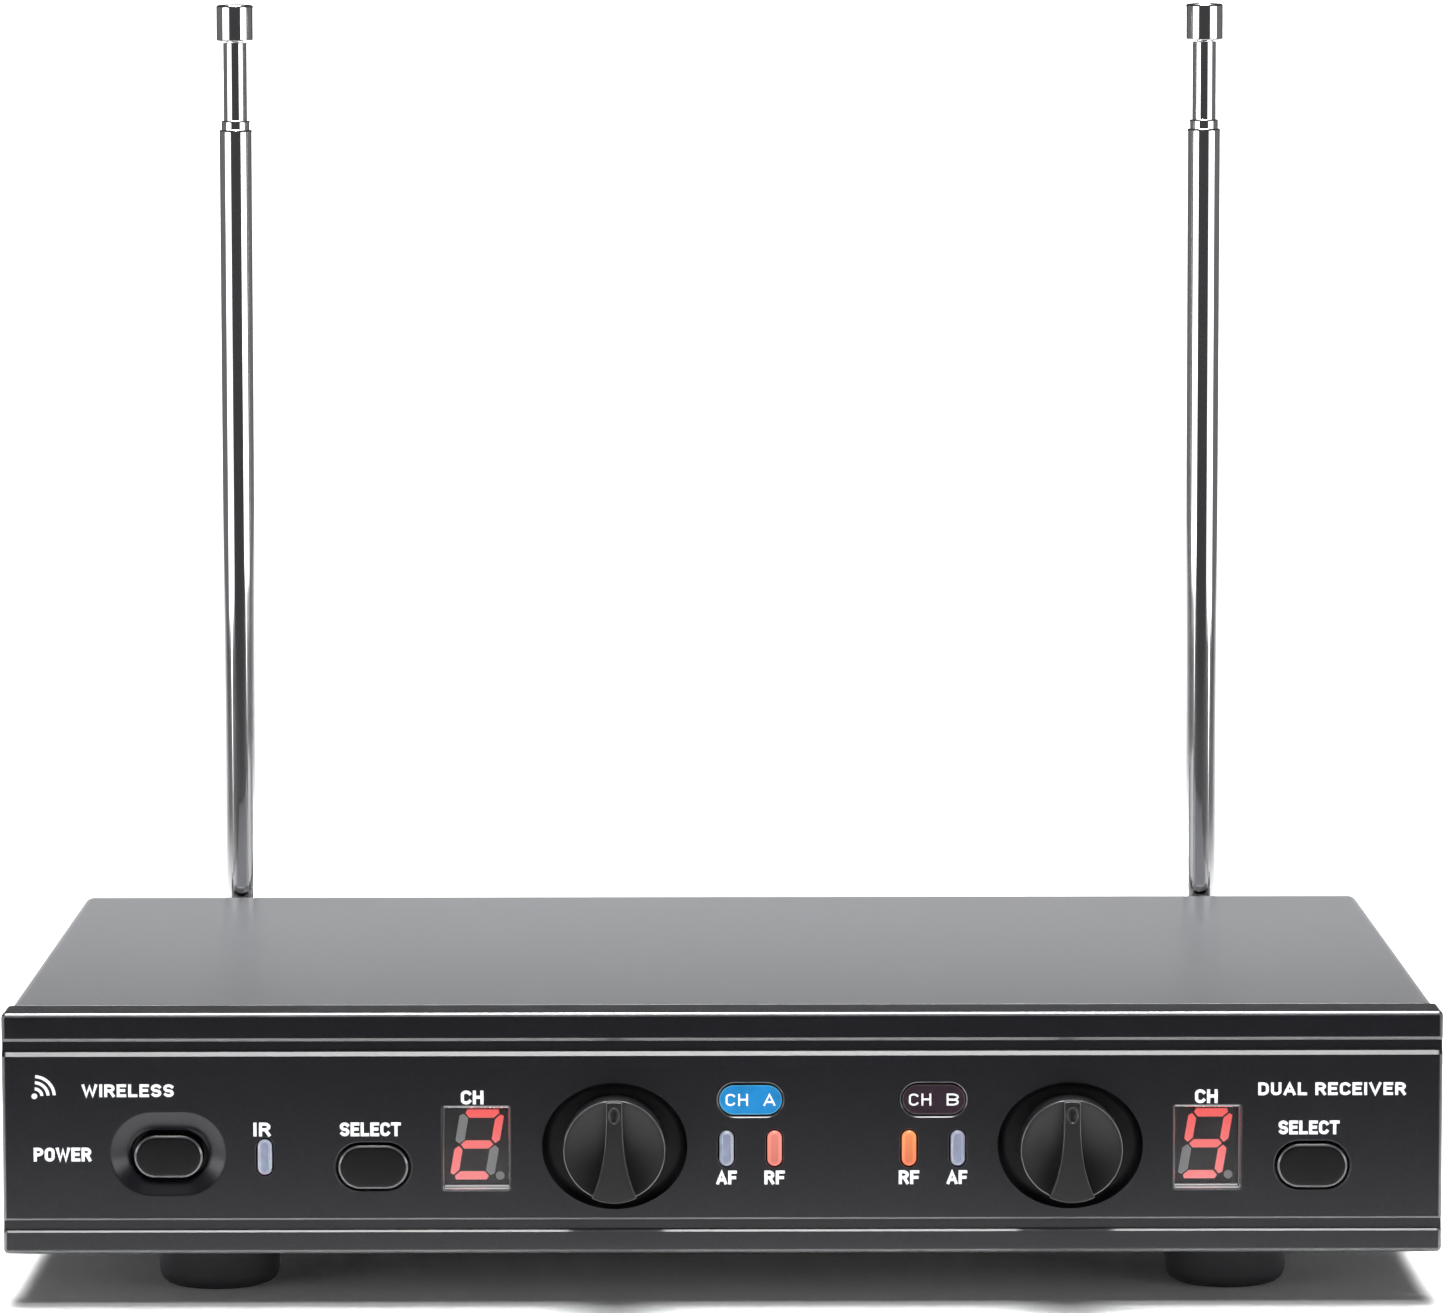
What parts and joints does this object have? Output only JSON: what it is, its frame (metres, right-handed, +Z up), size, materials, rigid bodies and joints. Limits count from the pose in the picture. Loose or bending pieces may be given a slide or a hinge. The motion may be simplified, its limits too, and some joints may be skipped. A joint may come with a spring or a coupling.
{
  "type": "wireless receiver unit",
  "caption": "Half-width audio receiver box with level knobs, channel displays and lamps on its front, audio outputs on its back, and telescopic whip antennas that swivel, fold and extend.",
  "frame": {"origin": "on the surface it stands on, under the middle of the whole object's box", "axes": "+X to the right seen from the front, +Y to the back, +Z up; the controls face -Y"},
  "size_m": [0.21, 0.144, 0.1894],
  "materials": {
    "panel_plastic": "fine moulded texture, satin black",
    "cover_paint": "fine textured dark grey powder coat, semi-gloss",
    "chassis_paint": "fine textured black powder coat",
    "foot_rubber": "matt black rubber",
    "screw_black": "black zinc",
    "control_plastic": "satin black",
    "window_clear": "clear acrylic",
    "display_face": "dark filter with lit red segments",
    "lamp_off": "translucent pale blue lamp pipe",
    "lamp_lit": "lit red lamp pipe",
    "badge_blue": "blue inlay",
    "badge_purple": "dark purple inlay",
    "board_green": "green circuit board",
    "socket_plastic": "black moulded",
    "nickel": "nickel plated",
    "chrome": "bright chrome plate",
    "ribbon_grey": "grey flat cable",
    "print_white": "white screen print"
  },
  "bodies": {
    "housing": {"antenna_bush_left": "nickel", "antenna_bush_right": "nickel", "antenna_lead_left": "socket_plastic", "antenna_lead_right": "socket_plastic", "audio_lamp_a": "lamp_off", "audio_lamp_b": "lamp_off", "board_ribbon": "ribbon_grey", "channel_badge_a": "badge_blue", "channel_badge_b": "badge_purple", "chassis": "chassis_paint", "cover_screw_back_left": "screw_black", "cover_screw_back_right": "screw_black", "cover_screw_front_left": "screw_black", "cover_screw_front_right": "screw_black", "display_module_a": "display_face", "display_module_b": "display_face", "display_window_a": "window_clear", "display_window_b": "window_clear", "foot_back_left": "foot_rubber", "foot_back_right": "foot_rubber", "foot_front_left": "foot_rubber", "foot_front_right": "foot_rubber", "front_board": "board_green", "front_panel": "panel_plastic", "ir_window": "lamp_off", "jack_nut": "nickel", "level_pot_a": "nickel", "level_pot_b": "nickel", "main_board": "board_green", "mix_output_jack": "socket_plastic", "power_inlet": "socket_plastic", "power_switch": "socket_plastic", "radio_lamp_a": "lamp_lit", "radio_lamp_b": "lamp_lit", "radio_shield_a": "nickel", "radio_shield_b": "nickel", "select_switch_a": "socket_plastic", "select_switch_b": "socket_plastic", "top_cover": "cover_paint", "xlr_output_a": "socket_plastic", "xlr_output_b": "socket_plastic"},
    "power_button_body": {"power_button": "control_plastic"},
    "select_button_a_body": {"select_button_a": "control_plastic"},
    "select_button_b_body": {"select_button_b": "control_plastic"},
    "level_knob_a_body": {"level_knob_a": "control_plastic", "pot_shaft_a": "nickel"},
    "level_knob_b_body": {"level_knob_b": "control_plastic", "pot_shaft_b": "nickel"},
    "antenna_left_fork": {"antenna_fork_left": "chrome", "fold_pin_left": "nickel"},
    "antenna_left_outer": {"outer_tube_left": "chrome"},
    "antenna_left_middle": {"middle_tube_left": "chrome"},
    "antenna_left_inner": {"inner_tube_left": "chrome"},
    "antenna_left_tip": {"tip_rod_left": "chrome"},
    "antenna_right_fork": {"antenna_fork_right": "chrome", "fold_pin_right": "nickel"},
    "antenna_right_outer": {"outer_tube_right": "chrome"},
    "antenna_right_middle": {"middle_tube_right": "chrome"},
    "antenna_right_inner": {"inner_tube_right": "chrome"},
    "antenna_right_tip": {"tip_rod_right": "chrome"}
  },
  "joints": [
    {"name": "power_press", "type": "slide", "parent": "housing", "child": "power_button_body", "axis": [0, 1, 0], "range_m": [0, 0.002], "stiffness_N_per_m": 300},
    {"name": "select_press_a", "type": "slide", "parent": "housing", "child": "select_button_a_body", "axis": [0, 1, 0], "range_m": [0, 0.0008], "stiffness_N_per_m": 600},
    {"name": "select_press_b", "type": "slide", "parent": "housing", "child": "select_button_b_body", "axis": [0, 1, 0], "range_m": [0, 0.0008], "stiffness_N_per_m": 600},
    {"name": "level_turn_a", "type": "hinge", "parent": "housing", "child": "level_knob_a_body", "pos_m": [-0.0157, -0.072, 0.0236], "axis": [0, 1, 0], "range_deg": [-150, 150]},
    {"name": "level_turn_b", "type": "hinge", "parent": "housing", "child": "level_knob_b_body", "pos_m": [0.0507, -0.072, 0.0236], "axis": [0, 1, 0], "range_deg": [-150, 150]},
    {"name": "antenna_left_swivel", "type": "hinge", "parent": "housing", "child": "antenna_left_fork", "pos_m": [-0.0793, 0.068, 0.0277], "axis": [0, 1, 0], "range_deg": [-90, 60]},
    {"name": "antenna_left_fold", "type": "hinge", "parent": "antenna_left_fork", "child": "antenna_left_outer", "pos_m": [-0.0793, 0.068, 0.0277], "axis": [-1, 0, 0], "range_deg": [0, 90]},
    {"name": "antenna_left_extend_middle", "type": "slide", "parent": "antenna_left_outer", "child": "antenna_left_middle", "axis": [0, 0, 1], "range_m": [0, 0.095]},
    {"name": "antenna_left_extend_inner", "type": "slide", "parent": "antenna_left_middle", "child": "antenna_left_inner", "axis": [0, 0, 1], "range_m": [0, 0.095]},
    {"name": "antenna_left_extend_tip", "type": "slide", "parent": "antenna_left_inner", "child": "antenna_left_tip", "axis": [0, 0, 1], "range_m": [0, 0.1]},
    {"name": "antenna_right_swivel", "type": "hinge", "parent": "housing", "child": "antenna_right_fork", "pos_m": [0.0793, 0.068, 0.0277], "axis": [0, 1, 0], "range_deg": [-60, 90]},
    {"name": "antenna_right_fold", "type": "hinge", "parent": "antenna_right_fork", "child": "antenna_right_outer", "pos_m": [0.0793, 0.068, 0.0277], "axis": [-1, 0, 0], "range_deg": [0, 90]},
    {"name": "antenna_right_extend_middle", "type": "slide", "parent": "antenna_right_outer", "child": "antenna_right_middle", "axis": [0, 0, 1], "range_m": [0, 0.095]},
    {"name": "antenna_right_extend_inner", "type": "slide", "parent": "antenna_right_middle", "child": "antenna_right_inner", "axis": [0, 0, 1], "range_m": [0, 0.095]},
    {"name": "antenna_right_extend_tip", "type": "slide", "parent": "antenna_right_inner", "child": "antenna_right_tip", "axis": [0, 0, 1], "range_m": [0, 0.1]}
  ]
}
